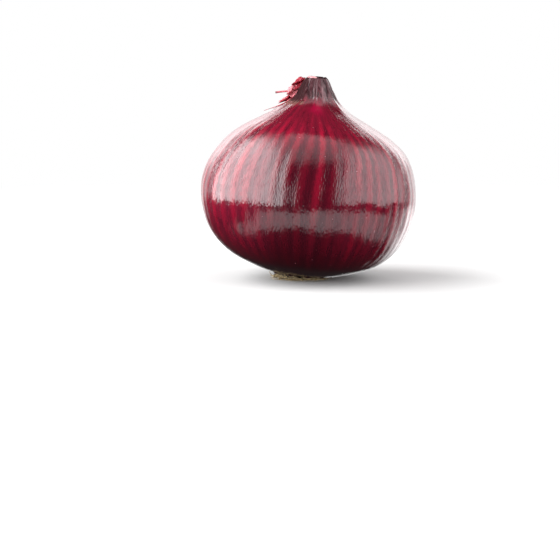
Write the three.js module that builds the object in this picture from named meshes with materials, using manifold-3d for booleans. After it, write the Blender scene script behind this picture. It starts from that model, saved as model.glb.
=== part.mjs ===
// A red onion standing on its root plate, at its real size in millimetres, +Z up.
// The origin is the middle of the flat root face that it rests on. The bulb leans a little towards +X,
// as it grew, and its dry neck is cut off square. The pieces are the bulb in its skin with the neck,
// the dry leaf ends that stand in the neck's cut, the torn skin that hangs off the neck's left side,
// and the root plate with its dried roots.
//
// The ground frame is the one that is exported. The leaning frame has the same origin and its Z along
// the bulb's axis, and a height is a distance along that axis.

import * as THREE from "three";
import { mergeVertices } from "three/addons/utils/BufferGeometryUtils.js";
import Module from "manifold-3d";

const wasm = await Module();
wasm.setup();

const { degToRad, lerp, smoothstep } = THREE.MathUtils;

// Driving dimensions
const BULB_DIAMETER = 78;
const ONION_HEIGHT = 73;
const LEAN = degToRad(5.5);
const NECK_CUT_HEIGHT = 72.9;
const GAP = 0.3; // between pieces that touch

// Skin: low veins from pole to pole, pleats where it dries into the neck, and a torn edge at the roots
const VEINS = 48;
const SEGMENTS_PER_VEIN = 3;
const RINGS_PER_STATION = 2;
const VEIN_HEIGHT = 0.22;
const PLEATS = 9;
const PLEAT_DEPTH = 0.42;
const PLEATS_START = 55;
const PLEATS_FULL = 66;
const OUT_OF_ROUND = 0.4;
const SKIN_TEETH = 12;
const SKIN_TOOTH = 0.35;
const DISH_REACH = 12;

// Root plate and dried roots
const PLATE_FOOT_RADIUS = 5.6;
const PLATE_RADIUS = 8;
const PLATE_RIM_HEIGHT = 0.9;
const PLATE_BACK_RADIUS = 6.8;
const PLATE_THICKNESS = 3.6;
const ROOT_COUNT = 30;
const ROOT_RADIUS = 0.5;
const ROOT_REACH_LEAST = 10.6;
const ROOT_REACH_MOST = 13.6;
const ROOT_CURL = 0.9;
const ROOT_SEED = 41;

// Dry leaf ends in the neck's cut
const LEAF_ENDS_RADIUS = 2.35;
const LEAF_ENDS_DEPTH = 4;
const LEAF_LAYERS = 3;
const LEAF_STEP = 0.3;
const LEAF_GROOVE = 1.2;
const LEAF_EDGE_WAVE = 0.16;

// Torn skin on the neck
const TORN_SKIN_THICKNESS = 0.65;
const STRIP_LOW = 62.4;
const STRIP_HIGH = 70.6;
const STRIP_ARC = 0.5;
const SPIKE_RADIUS = 0.45;
const THREAD_RADIUS = 0.4;

// The bulb's outline in the leaning frame, as [height, radius, sway of its middle towards +X]. It
// starts in the shallow dish round the roots and ends at the neck's cut.
const OUTLINE = [
  [2.6, 8.6, 0.2],
  [1.8, 10.7, 0.2],
  [2.4, 13.8, 0.3],
  [4.0, 19.0, 0.4],
  [7.4, 26.8, 0.4],
  [13.4, 33.5, 0.0],
  [21.4, 37.5, -0.3],
  [30.6, 39.0, -0.5],
  [39.4, 37.4, -0.2],
  [47.0, 33.5, 0.4],
  [52.8, 27.4, 0.2],
  [57.4, 19.7, -0.4],
  [61.2, 12.9, -1.1],
  [64.8, 8.4, -0.9],
  [68.6, 6.35, -1.2],
  [71.0, 5.1, -1.2],
  [NECK_CUT_HEIGHT, 3.65, -0.95],
];

const widest = Math.max(...OUTLINE.map(([, radius]) => radius));
const outlineCurve = new THREE.CatmullRomCurve3(
  OUTLINE.map(([height, radius, sway]) => {
    return new THREE.Vector3((radius * BULB_DIAMETER) / 2 / widest, sway, height);
  }),
  false,
  "catmullrom",
);

// The bulb's rings from the dish to the neck's cut, each with the way that its skin faces.
const ringCount = (OUTLINE.length - 1) * RINGS_PER_STATION;
const rings = [];
for (let k = 0; k <= ringCount; k++) {
  const point = outlineCurve.getPoint(k / ringCount);
  const tangent = outlineCurve.getTangent(k / ringCount);
  const facing = new THREE.Vector2(tangent.z, -tangent.x).normalize();
  rings.push({ radius: point.x, sway: point.y, height: point.z, facing });
}
const neckRing = rings[ringCount];
const toGround = new THREE.Matrix4().makeRotationY(LEAN);
const toLeaning = toGround.clone().invert();

// The geometry as a closed solid, with its shared corners joined.
function solidOf(geometry) {
  const bare = geometry.clone();
  bare.deleteAttribute("normal");
  bare.deleteAttribute("uv");
  const merged = mergeVertices(bare, 1e-3);
  return new wasm.Manifold(
    new wasm.Mesh({
      numProp: 3,
      vertProperties: merged.attributes.position.array,
      triVerts: new Uint32Array(merged.index.array),
    }),
  );
}

// A named mesh of a solid's largest body. Scraps that a cut leaves are dropped.
function meshOf(name, solid, material) {
  const [body] = solid.decompose().sort((a, b) => b.volume() - a.volume());
  const { vertProperties, triVerts } = body.getMesh();
  const geometry = new THREE.BufferGeometry();
  geometry.setAttribute("position", new THREE.BufferAttribute(vertProperties, 3));
  geometry.setIndex(new THREE.BufferAttribute(triVerts, 1));
  geometry.computeVertexNormals();
  const mesh = new THREE.Mesh(geometry, material);
  mesh.name = name;
  return mesh;
}

// A geometry turned on the Z axis from [radius, height] pairs that start and end on the axis.
function turned(pairs, segments) {
  const profile = pairs.map(([radius, height]) => new THREE.Vector2(radius, height));
  return new THREE.LatheGeometry(profile, segments).rotateX(Math.PI / 2);
}

// A round strand of a few sides along a smooth curve through the points.
function strandSolid(points, radius, sides, steps) {
  const corners = [];
  for (let k = 0; k < sides; k++) {
    const angle = (2 * Math.PI * k) / sides;
    corners.push(new THREE.Vector2(radius * Math.cos(angle), radius * Math.sin(angle)));
  }
  const extrudePath = new THREE.CatmullRomCurve3(points);
  return solidOf(new THREE.ExtrudeGeometry(new THREE.Shape(corners), { steps, extrudePath }));
}

// A thin blade, with the same triangles on both faces. middle(u, v) is a point of its middle surface,
// with u from 0 to 1 along it and v from 0 to 1 across it.
function bladeSolid(rows, columns, thickness, middle) {
  const corners = [];
  const faces = [];
  const step = 0.01;
  const at = (side, i, j) => (side * (rows + 1) + i) * (columns + 1) + j;
  const quad = (a, b, c, d) => faces.push(a, b, c, a, c, d);
  for (const side of [0, 1])
    for (let i = 0; i <= rows; i++)
      for (let j = 0; j <= columns; j++) {
        const [u, v] = [i / rows, j / columns];
        const along = middle(u + step, v).sub(middle(u - step, v));
        const across = middle(u, v + step).sub(middle(u, v - step));
        const outwards = along.cross(across).normalize();
        corners.push(...middle(u, v).addScaledVector(outwards, (side - 0.5) * thickness));
      }
  for (let i = 0; i < rows; i++)
    for (let j = 0; j < columns; j++) {
      quad(at(1, i, j), at(1, i + 1, j), at(1, i + 1, j + 1), at(1, i, j + 1));
      faces.push(at(0, i, j), at(0, i + 1, j + 1), at(0, i + 1, j));
      faces.push(at(0, i, j), at(0, i, j + 1), at(0, i + 1, j + 1));
    }
  for (let i = 0; i < rows; i++) {
    quad(at(0, i, 0), at(0, i + 1, 0), at(1, i + 1, 0), at(1, i, 0));
    quad(at(1, i, columns), at(1, i + 1, columns), at(0, i + 1, columns), at(0, i, columns));
  }
  for (let j = 0; j < columns; j++) {
    quad(at(1, 0, j), at(1, 0, j + 1), at(0, 0, j + 1), at(0, 0, j));
    quad(at(0, rows, j), at(0, rows, j + 1), at(1, rows, j + 1), at(1, rows, j));
  }
  const geometry = new THREE.BufferGeometry();
  geometry.setAttribute("position", new THREE.Float32BufferAttribute(corners, 3));
  geometry.setIndex(faces);
  return solidOf(geometry);
}

// Random numbers from 0 to 1, the same on each run.
function randomFrom(seed) {
  let state = seed;
  return () => {
    state = (state * 1664525 + 1013904223) % 4294967296;
    return state / 4294967296;
  };
}

// How far the skin stands out from the smooth outline, at an angle round the axis.
function skinRelief(angle, { radius, height }) {
  const dryness = smoothstep(height, PLEATS_START, PLEATS_FULL);
  const belly = smoothstep(radius, DISH_REACH, BULB_DIAMETER / 3);
  const lobes = OUT_OF_ROUND * belly * Math.sin(2 * angle + 0.7) * Math.cos(angle - 0.4);
  const veinStrength = belly * (0.8 + 0.2 * Math.sin(5 * angle + 1));
  const veins = VEIN_HEIGHT * veinStrength * Math.cos(VEINS * angle);
  const thinning = 1 - 0.5 * smoothstep(height, PLEATS_FULL, NECK_CUT_HEIGHT);
  const pleats = PLEAT_DEPTH * dryness * thinning * Math.cos(PLEATS * angle + Math.sin(2 * angle));
  return veins + pleats + lobes;
}

// The bulb with its neck, in the leaning frame, grown by extra on all sides. It is turned from the
// rings, then each ring gets its sway, its relief and, in the dish, the torn teeth of the skin.
function bulbSolid(extra) {
  const closed = [{ ...rings[0], radius: 0 }, ...rings, { ...neckRing, radius: 0 }];
  const pairs = closed.map(({ radius, height }) => [radius, height]);
  const geometry = turned(pairs, VEINS * SEGMENTS_PER_VEIN);
  const position = geometry.getAttribute("position");
  for (let i = 0; i < position.count; i++) {
    const ring = closed[i % closed.length];
    const angle = Math.atan2(position.getY(i), position.getX(i));
    const onAxis = ring.radius === 0;
    const inDish = ring.radius < DISH_REACH && ring.height < PLEATS_START;
    const tooth = inDish && !onAxis ? SKIN_TOOTH * Math.cos(SKIN_TEETH * angle + 2 * Math.sin(angle)) : 0;
    const grown = ring.radius + skinRelief(angle, ring) + extra * ring.facing.x;
    const radius = onAxis ? 0 : grown;
    const height = ring.height - tooth + extra * ring.facing.y;
    position.setXYZ(i, ring.sway + radius * Math.cos(angle), radius * Math.sin(angle), height);
  }
  return solidOf(geometry);
}

// The root plate in the ground frame, grown by extra: a flat foot that widens to a rim, and a back that
// sits in the bulb.
function plateSolid(extra) {
  const pairs = [
    [0, -extra],
    [PLATE_FOOT_RADIUS + extra, -extra],
    [PLATE_RADIUS + extra, PLATE_RIM_HEIGHT],
    [PLATE_BACK_RADIUS + extra, PLATE_THICKNESS + extra],
    [0, PLATE_THICKNESS + extra],
  ];
  return solidOf(turned(pairs, 24));
}

// How high the bulb's underside is over a point of the ground.
function undersideOver(x, y) {
  const reach = Math.hypot(x, y);
  const outer = rings.findIndex(({ radius }) => radius >= reach);
  const [a, b] = [rings[Math.max(outer - 1, 0)], rings[outer]];
  const share = b.radius > a.radius ? (reach - a.radius) / (b.radius - a.radius) : 0;
  return lerp(a.height, b.height, share) * Math.cos(LEAN) - x * Math.sin(LEAN);
}

// One dried root. It grows out of the plate's rim, curls sideways and stays under the bulb.
function rootSolid(random, direction) {
  const start = PLATE_RADIUS - 2;
  const reach = lerp(ROOT_REACH_LEAST, ROOT_REACH_MOST, random());
  const curl = ROOT_CURL * (2 * random() - 1);
  const lift = random();
  const points = [];
  for (const share of [0, 0.3, 0.55, 0.8, 1]) {
    const angle = direction + curl * share * share;
    const radius = lerp(start, reach, share);
    const [x, y] = [radius * Math.cos(angle), radius * Math.sin(angle)];
    const room = Math.max(undersideOver(x, y) - GAP - 2 * ROOT_RADIUS, 0);
    points.push(new THREE.Vector3(x, y, 0.8 * ROOT_RADIUS + lift * room));
  }
  return strandSolid(points, ROOT_RADIUS, 4, 5);
}

// The root plate and its roots as one body that stands on the ground, clear of the bulb.
function rootTuftSolid() {
  const random = randomFrom(ROOT_SEED);
  const roots = [];
  for (let k = 0; k < ROOT_COUNT; k++) {
    const direction = (2 * Math.PI * (k + 0.6 * random())) / ROOT_COUNT;
    roots.push(rootSolid(random, direction));
  }
  const ground = solidOf(new THREE.BoxGeometry(60, 60, 20).translate(0, 0, -10));
  const skin = bulbSolid(GAP).transform(toGround.elements);
  return wasm.Manifold.union(roots).subtract(skin).add(plateSolid(0)).subtract(ground);
}

// The hole in the neck that the leaf ends stand in, in the leaning frame.
function neckHoleSolid() {
  const radius = LEAF_ENDS_RADIUS + GAP;
  const foot = NECK_CUT_HEIGHT - LEAF_ENDS_DEPTH - GAP;
  const top = NECK_CUT_HEIGHT + LEAF_ENDS_DEPTH;
  const pairs = [
    [0, foot],
    [radius, foot],
    [radius, top],
    [0, top],
  ];
  return solidOf(shrivelled(turned(pairs, 24), 0));
}

// Gives a piece in the neck the neck's flattened, wavy section, and a wave to its upper edges.
function shrivelled(geometry, edgeWave) {
  const position = geometry.getAttribute("position");
  for (let i = 0; i < position.count; i++) {
    const angle = Math.atan2(position.getY(i), position.getX(i));
    const flat = Math.hypot(position.getX(i), position.getY(i));
    const radius = flat * (1 + 0.07 * Math.sin(2 * angle + 0.6) + 0.03 * Math.sin(5 * angle));
    const upper = position.getZ(i) > NECK_CUT_HEIGHT - LEAF_ENDS_DEPTH ? edgeWave : 0;
    const height = position.getZ(i) + upper * Math.sin(4 * angle + 3 * flat) * Math.min(flat, 1);
    position.setXYZ(i, neckRing.sway + radius * Math.cos(angle), radius * Math.sin(angle), height);
  }
  return geometry;
}

// The dry leaf ends, in the leaning frame: layers round each other, the inner ones lower.
function leafEndsSolid() {
  const foot = NECK_CUT_HEIGHT - LEAF_ENDS_DEPTH;
  const width = LEAF_ENDS_RADIUS / LEAF_LAYERS;
  const pairs = [
    [0, foot],
    [LEAF_ENDS_RADIUS, foot],
  ];
  for (let layer = 0; layer < LEAF_LAYERS; layer++) {
    const radius = LEAF_ENDS_RADIUS - layer * width;
    const rim = NECK_CUT_HEIGHT + 0.5 - LEAF_STEP * layer;
    pairs.push([radius, rim], [radius - 0.6 * width, rim]);
    if (layer < LEAF_LAYERS - 1) pairs.push([radius - 0.75 * width, rim - LEAF_GROOVE]);
  }
  pairs.push([0, NECK_CUT_HEIGHT - LEAF_GROOVE]);
  return solidOf(shrivelled(turned(pairs, 24), LEAF_EDGE_WAVE));
}

// A point beside the neck's left flank, in the leaning frame: so far out from the skin at a height.
function besideNeck(out, side, height) {
  const above = rings.findIndex((ring) => ring.height >= height);
  const [a, b] = [rings[above - 1], rings[above]];
  const share = (height - a.height) / (b.height - a.height);
  return new THREE.Vector3(lerp(a.sway - a.radius, b.sway - b.radius, share) - out, side, height);
}

// A crumpled lobe of torn skin from its root to its tip, each as [out, height] beside the neck.
function lobeSolid(root, tip, width, side, crumple) {
  const length = Math.hypot(tip[0] - root[0], tip[1] - root[1]);
  const [out, up] = [(tip[0] - root[0]) / length, (tip[1] - root[1]) / length];
  return bladeSolid(6, 4, TORN_SKIN_THICKNESS, (u, v) => {
    const half = (v - 0.5) * width * (0.5 + 0.5 * Math.sin(Math.PI * (0.2 + 0.7 * u)));
    const wave = crumple * (0.3 + u) * Math.sin(5 * u + 6 * v);
    return besideNeck(
      root[0] + length * out * u - up * half,
      side + wave + 0.35 * half,
      root[1] + length * up * u + out * half,
    );
  });
}

// The torn skin in the leaning frame: a strip on the neck, three lobes, a rolled spike and a thread.
function tornSkinSolid() {
  const strip = bladeSolid(8, 3, TORN_SKIN_THICKNESS, (u, v) => {
    const height = lerp(STRIP_LOW, STRIP_HIGH, u);
    const out = GAP + TORN_SKIN_THICKNESS + 0.15 * Math.sin(9 * u);
    const reach = neckRing.sway - besideNeck(out, 0, height).x;
    const angle = (v - 0.5) * STRIP_ARC;
    const x = neckRing.sway - reach * Math.cos(angle);
    return new THREE.Vector3(x, reach * Math.sin(-angle), height);
  });
  const spike = [besideNeck(0.9, 0.2, 67), besideNeck(3.4, 0.4, 67.2), besideNeck(7.3, 0.3, 66.2)];
  const thread = [besideNeck(0.9, -0.6, 64), besideNeck(1.3, -1.2, 62), besideNeck(1.7, -1.4, 59.4)];
  return strip
    .add(lobeSolid([0.3, 69.6], [2.3, 71.6], 2.6, 0.4, 0.3))
    .add(lobeSolid([0.3, 68.2], [3.4, 66.0], 3.0, -0.3, 0.4))
    .add(lobeSolid([0.3, 66.0], [1.3, 63.4], 2.0, 0.5, 0.3))
    .add(strandSolid(spike, SPIKE_RADIUS, 6, 8))
    .add(strandSolid(thread, THREAD_RADIUS, 5, 8))
    .subtract(bulbSolid(GAP));
}

const skin = new THREE.MeshStandardMaterial({ color: 0x7a1230, roughness: 0.3, metalness: 0 });
const drySkin = new THREE.MeshStandardMaterial({ color: 0xb04458, roughness: 0.6, metalness: 0 });
const dryLeaf = new THREE.MeshStandardMaterial({ color: 0x4a2a22, roughness: 0.8, metalness: 0 });
const root = new THREE.MeshStandardMaterial({ color: 0x9a8458, roughness: 0.9, metalness: 0 });

const plateSocket = plateSolid(GAP).transform(toLeaning.elements);
const sky = solidOf(new THREE.BoxGeometry(60, 60, 20).translate(0, 0, ONION_HEIGHT + 10));
const bulb = bulbSolid(0).subtract(neckHoleSolid()).subtract(plateSocket);
const leafEnds = leafEndsSolid().subtract(sky.transform(toLeaning.elements));

const leaning = new THREE.Group();
leaning.rotation.y = LEAN;
leaning.add(meshOf("bulb", bulb, skin));
leaning.add(meshOf("cut_leaf_ends", leafEnds, dryLeaf));
leaning.add(meshOf("torn_neck_skin", tornSkinSolid(), drySkin));

const onion = new THREE.Group();
onion.add(leaning);
onion.add(meshOf("root_tuft", rootTuftSolid(), root));

export default onion;
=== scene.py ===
"""A red onion standing on its root plate: glossy veined skin, a dry cut neck, torn skin and roots.

The sizes are in millimetres in the constants and in metres in the scene. The leaning frame has its Z
along the bulb's axis, which leans towards +X, and a height is a distance along that axis.
"""

import itertools
import math
import random

import bmesh
import bpy
import numpy as np
from mathutils import Matrix, Vector, noise


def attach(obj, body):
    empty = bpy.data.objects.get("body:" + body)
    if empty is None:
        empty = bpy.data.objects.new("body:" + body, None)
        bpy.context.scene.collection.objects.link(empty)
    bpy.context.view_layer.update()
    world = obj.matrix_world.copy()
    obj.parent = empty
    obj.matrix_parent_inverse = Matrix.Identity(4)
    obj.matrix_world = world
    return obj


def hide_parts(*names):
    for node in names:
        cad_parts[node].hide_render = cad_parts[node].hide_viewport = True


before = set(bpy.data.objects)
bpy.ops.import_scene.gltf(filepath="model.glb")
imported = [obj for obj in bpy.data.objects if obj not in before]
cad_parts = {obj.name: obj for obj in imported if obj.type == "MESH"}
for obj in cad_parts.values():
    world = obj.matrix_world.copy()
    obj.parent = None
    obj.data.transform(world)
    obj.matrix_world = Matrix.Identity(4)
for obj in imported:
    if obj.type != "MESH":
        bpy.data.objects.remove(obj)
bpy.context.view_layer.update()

bl_info = {
    "name": "Red Onion",
    "version": (1, 0, 0),
    "blender": (4, 5, 0),
    "location": "3D View > Sidebar > Onion",
    "description": "Builds a red onion with its skin, neck, torn skin and roots",
    "category": "Add Mesh",
}

MM = 0.001
BODY = "root"

# The bulb's outline, as height, radius and sway of its middle towards +X
OUTLINE = (
    (2.6, 8.6, 0.2),
    (1.8, 10.7, 0.2),
    (2.4, 13.8, 0.3),
    (4.0, 19.0, 0.4),
    (7.4, 26.8, 0.4),
    (13.4, 33.5, 0.0),
    (21.4, 37.5, -0.3),
    (30.6, 39.0, -0.5),
    (39.4, 37.4, -0.2),
    (47.0, 33.5, 0.4),
    (52.8, 27.4, 0.2),
    (57.4, 19.7, -0.4),
    (61.2, 12.9, -1.1),
    (64.8, 8.4, -0.9),
    (68.6, 6.35, -1.2),
    (71.0, 5.1, -1.2),
    (72.9, 3.65, -0.95),
)
BULB_RADIUS = 39.0
NECK_CUT = OUTLINE[-1][0]
NECK_RADIUS = OUTLINE[-1][1]
NECK_SWAY = OUTLINE[-1][2]

# Skin relief
SEGMENTS = 576
OUTLINE_RINGS = 156
VEINS = 48
PLEATS = 9
PLEATS_START = 55.0
PLEATS_FULL = 66.0
PLEAT_DEPTH = 0.42
OUT_OF_ROUND = 0.4
BROAD_DENT = 0.12
BROAD_DENT_LENGTH = 11.0
WRINKLE_HEIGHT = 0.018
FRONT_HOLLOW_DEPTH = 0.45
BELLY_FULL = 26.0
SKIN_TEETH = 12
SKIN_TOOTH = 0.35
DISH_REACH = 12.0
DISH_CEILING = 3.4
NECK_WALL = 0.4
NECK_HOLE_DEPTH = 3.4
NECK_SLIMMING = 0.5
NECK_ROUGHNESS = 0.1
NECK_RIM_DEPTH = 1.2
RIM_RAGGEDNESS = 0.3

# Small dents, as depth, fineness round and along the bulb, and random seed
DENTS = (
    (0.11, (8, 8, 7), 14),
    (0.026, (13, 13, 6), 3),
    (0.012, (26, 26, 11), 4),
)

# Heights where a form or mark begins and is full, and where it fades and is gone, or one pair of these
SLIMMING_HEIGHTS = (50.0, 57.0)
WRINKLE_HEIGHTS = (56.0, 58.0, 61.0, 63.0)
FRONT_HOLLOW_HEIGHTS = (61.0, 64.6, 64.9, 68.0)
DEEP_FADE = (46.0, 54.0)
# Heights of the painted shade on the neck's left flank.
FLANK_SHADE_FOOT = (61.0, 63.5)
FLANK_SHADE_TOP = (70.0, 73.0)
PALE_FOOT = (65.2, 65.8)
PALE_TOP = (67.4, 69.9)
RAGGED_HEIGHTS = (NECK_CUT - 0.8, NECK_CUT)
RIM_HEIGHTS = (NECK_CUT - 0.75, NECK_CUT - 0.45)

# The same as shares along the outline, for the bright vein, the neck's colour and the change from tan to
# the dark brown of the painted shade on the neck's left flank.
# From the share DRY_FROM the skin has the dry finish, and above NECK_INSIDE it is in the neck's hole.
BRIGHT_VEIN_SHARES = (0.44, 0.5, 0.66, 0.74)
DRY_BAND = (0.815, 0.830)
DARK_BAND = (0.77, 0.80)
DRY_FROM = 0.822
NECK_INSIDE = 1.0015

# Forms and marks round the skin, as angle and half width in degrees
BRIGHT_VEIN = (-87.0, 1.8)
WRINKLES = (-40.0, 10.0)
FRONT_HOLLOW = (-88.0, 45.0)
# The front's middle is darkened with painted shade. The clear sides below are kept free of the darkening.
PAINTED_FRONT_SHADE = (-95.0, 24.0)
CLEAR_SIDES = ((-38.0, 24.0), (-140.0, 20.0))
PALE_PATCH = (-58.0, 20.0)
SMALL_PALE_PATCH = (-108.0, 12.0)

# Fresh skin, as angle and half width in degrees, height and half height
FRESH_FOOT = (-89.0, 14.0, 61.7, 1.9)
FRESH_NECK = (-75.0, 8.0, 67.0, 1.6)

# Marks on the neck in degrees: their angle, and how far from it they are full and are gone
# The neck's left flank is painted with shade: dark brown, over tan dry skin at its foot.
FLANK_SHADE_ANGLE = -170.0
FLANK_SHADE_WIDTHS = (42.0, 50.0)
FLANK_SHADE_TOP_NARROWER = 22.0
TORN_RIM = (-140.0, 36.0, 48.0)
# The right of the cut rim is painted with shade, as is the inside of the neck's hole.
SHADED_RIM = (-40.0, 48.0, 56.0)

# The skin's finishes in the order of its materials, as name, added roughness and strength of shine
SKIN_FINISHES = (
    ("onion_skin", 0.0, 1.0),
    ("dry_neck", 0.25, 0.4),
    # The third finish, with almost no shine, is for the painted shade on the neck's left flank and at its
    # cut rim.
    ("painted_shade_neck", 0.4, 0.04),
)
MOIST, DRY, SHADE_PAINTED = range(3)

# The skin's grain, as its fineness round and along the bulb, its detail and its roughness
FIBRES = ((56.0, 56.0, 20.0), 4.0, 0.65)
FINE_THREADS = ((140.0, 140.0, 15.0), 3.0, 0.6)
STREAKS = ((24.0, 24.0, 3.5), 4.0, 0.6)
SMEARS = ((9.0, 9.0, 4.0), 3.0, 0.55)
FINE_DENTS = ((72.0, 72.0, 27.0), 1.0, 0.4)
FINE_DENT_DEPTH = 0.09

# Creases in the neck, as angle in degrees, height, turn over their length in degrees, half length, half
# width in degrees and depth. Painted shade darkens them, fully from the depth given next.
CREASE_FULL_SHADE = 0.12
CREASES = (
    (-79.0, 68.6, -6.0, 0.9, 2.6, 0.16),
    (-84.0, 66.6, 2.0, 1.3, 2.4, 0.2),
    (-76.0, 66.4, -2.0, 1.2, 2.2, 0.18),
    (-92.0, 67.2, 4.0, 1.6, 2.0, 0.1),
    (-51.0, 70.5, -22.0, 2.2, 2.2, 0.16),
    (-118.0, 68.0, -16.0, 3.6, 4.5, 0.22),
    (-139.0, 67.4, -10.0, 3.4, 4.5, 0.24),
    (-102.0, 66.6, -4.0, 2.0, 3.0, 0.12),
)
MORE_CREASES = 22
CREASE_SEED = 5

# Strands of torn skin, through points given as how far out from the neck's left flank, side and height
SPIKE = ((0.2, 0.0, 66.9), (1.8, 0.0, 66.9), (3.4, 0.1, 66.6), (5.2, 0.3, 66.3), (6.9, 0.3, 65.8))
THREAD = ((-0.2, -0.4, 64.2), (-0.3, -0.8, 63.0), (-0.2, -1.1, 61.8), (0.5, -1.2, 60.5), (1.5, -1.2, 59.0))
FORK = ((-0.3, -0.8, 63.0), (-0.5, -0.8, 61.9), (-0.4, -0.7, 60.8), (0.0, -0.6, 59.9))
STRAND_RADIUS = 0.42

# Points along each side of a torn lobe's sheet
LOBE_POINTS = 30

# Leaf ends in the neck, each layer a little lower and turned on from the one round it
LEAF_LAYERS = 4
LEAF_ENDS_RADIUS = 2.35
LEAF_SHRINKAGE = 0.97
LEAF_ENDS_DEPTH = 3.8
LEAF_THICKNESS = 0.22
LEAF_SEGMENTS = 72
LEAF_ROWS = 8
FIRST_LEAF_DROP = 0.15
NEXT_LEAF_DROP = 0.28
NEXT_LEAF_TURN = 1.7

# Root plate and roots
PLATE_RADIUS = 8.0
PLATE_FOOT_RADIUS = 5.6
PLATE_THICKNESS = 3.4
PLATE_SEGMENTS = 160
PLATE_BEND = 1.3
PLATE_BEND_STEPS = 8
PLATE_ROUGHNESS = 0.03
ROOTS = 260
ROOT_SEED = 7
ROOT_POINTS = 7
LOWEST_ROOT = 0.3
ROOT_RISE = 1.2
ROOT_CLEARANCE = 0.7

# Camera
CAMERA_AIM = (-7.5, 0.0, -0.9)
CAMERA_DISTANCE = 567.0
CAMERA_TILT = 7.6
CAMERA_LENS = 100.0
CAMERA_SENSOR = 36.0

# Floor: a white sheet that widens to the back, on grey. Its places are in metres. The sheet's edge and
# the backdrop's are soft between two values, and so is the floor's fading into the backdrop.
FLOOR_RADIUS = 1.0
FLOOR_SEGMENTS = 96
WHITE_FLOOR = 0.76
GREY_FLOOR = 0.33
GREY_BACKDROP = 0.65
SHEET_EDGE = (0.12, 0.20)
SHEET_WIDENING = 0.2
FLOOR_FADE = (0.12, 0.50)
BACKDROP_EDGE = (0.30, 0.55)

# The studio's lights, each as its brightness and the planes through the onion that it lies between. A
# plane is the direction that it faces, and the values of a direction along that between which the
# light goes from none to full. MORE_BEHIND is how much brighter they are straight behind the onion.
DIM_LIGHT = 0.015
MORE_BEHIND = 0.95
RIGHT = (1, 0, 0)
LEFT = (-1, 0, 0)
FRONT = (0, -1, 0)
BACK = (0, 1, 0)
UP = (0, 0, 1)
DOWN = (0, 0, -1)
STUDIO_LIGHTS = (
    (4.7, (LEFT, 0.24, 0.66), (FRONT, -0.60, -0.50), (UP, -0.17, -0.12)),
    (2.25, (RIGHT, 0.37, 0.70), (FRONT, -0.75, -0.15), (UP, -0.13, -0.08)),
    (0.5, (RIGHT, 0.35, 0.50), (BACK, 0.60, 0.75), (DOWN, -0.50, -0.40), (UP, -0.30, -0.20)),
    (0.9, (UP, 0.68, 0.94), (FRONT, -0.38, -0.28)),
    (1.15, (BACK, 0.68, 0.76), (DOWN, -0.56, -0.50), (UP, 0.08, 0.25), (FRONT, -0.98, -0.88)),
    (0.65, (BACK, 0.62, 0.72), (DOWN, -0.56, -0.50), ((0.25, 0, 1), -0.30, -0.22)),
    (0.95, (RIGHT, 0.20, 0.40), (BACK, 0.20, 0.45), (DOWN, 0.12, 0.20), (UP, -0.56, -0.48)),
    (1.25, (DOWN, 0.26, 0.31), (UP, -0.70, -0.58), (FRONT, -0.30, 0.0), (RIGHT, -0.90, -0.80)),
)

# Soft noise: how many random values it has, and what spreads its lattice over them
NOISE_VALUES = 4096
NOISE_SPREAD = (73856093, 19349663, 83492791)


def smoothstep(value, low, high):
    """0 below low, 1 above high, and a smooth step between them."""
    share = np.clip((value - low) / (high - low), 0.0, 1.0)
    return share * share * (3.0 - 2.0 * share)


def between(value, start, full, fading, gone):
    """0 up to start, 1 from full to fading, and 0 again from gone."""
    return smoothstep(value, start, full) * (1 - smoothstep(value, fading, gone))


def bell(away, half_width, power=2):
    """1 in the middle, falling off to both sides. A higher power makes a wider top."""
    return np.exp(-((away / half_width) ** power))


def turned_back(degrees):
    """The same angle, from -180 to 180 degrees."""
    return (degrees + 180) % 360 - 180


def outline_at(share):
    """Rows of height, radius and sway, at shares from 0 to 1 of the way along the outline's points."""
    known = np.array(OUTLINE)
    known = np.vstack((2 * known[0] - known[1], known, 2 * known[-1] - known[-2]))
    place = np.clip(share, 0.0, 1.0) * (len(OUTLINE) - 1)
    k = np.minimum(place.astype(int), len(OUTLINE) - 2)
    t = (place - k)[:, None]
    before, start, end, after = (known[k + step] for step in range(4))
    leave, arrive = (end - before) / 2, (after - start) / 2
    bend = 2 * start - 2 * end + leave + arrive
    rise = -3 * start + 3 * end - 2 * leave - arrive
    return bend * t**3 + rise * t**2 + leave * t + start


FINE_SHARES = np.linspace(0.0, 1.0, 801)
FINE_HEIGHTS, FINE_RADII, FINE_SWAYS = outline_at(FINE_SHARES).T
FINE_ARCS = np.concatenate(([0.0], np.cumsum(np.hypot(np.diff(FINE_HEIGHTS), np.diff(FINE_RADII)))))
WIDEST = int(np.argmax(FINE_RADII))


def beside_neck(out, side, height):
    """A point so far out from the neck's left flank, in the leaning frame, in millimetres."""
    flank = np.interp(height, FINE_HEIGHTS[WIDEST:], (FINE_SWAYS - FINE_RADII)[WIDEST:])
    return Vector((flank - out, side, height))


def soft_noise(points, seed):
    """Smooth random values from -1 to 1, whose lattice has a spacing of 1."""
    values = np.random.default_rng(seed).uniform(-1, 1, NOISE_VALUES)
    cell = np.floor(points).astype(np.int64)
    part = points - cell
    part = part * part * (3 - 2 * part)
    total = np.zeros(len(points))
    for corner in itertools.product((0, 1), repeat=3):
        x, y, z = ((cell + corner) * NOISE_SPREAD).T
        value = values[(x ^ y ^ z) & (NOISE_VALUES - 1)]
        total += value * np.prod(np.where(corner, part, 1 - part), axis=1)
    return total


def lean_matrix(lean):
    """Turns the leaning frame into the upright one, and millimetres into metres."""
    return Matrix.Rotation(lean, 4, "Y") @ Matrix.Scale(MM, 4)


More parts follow.
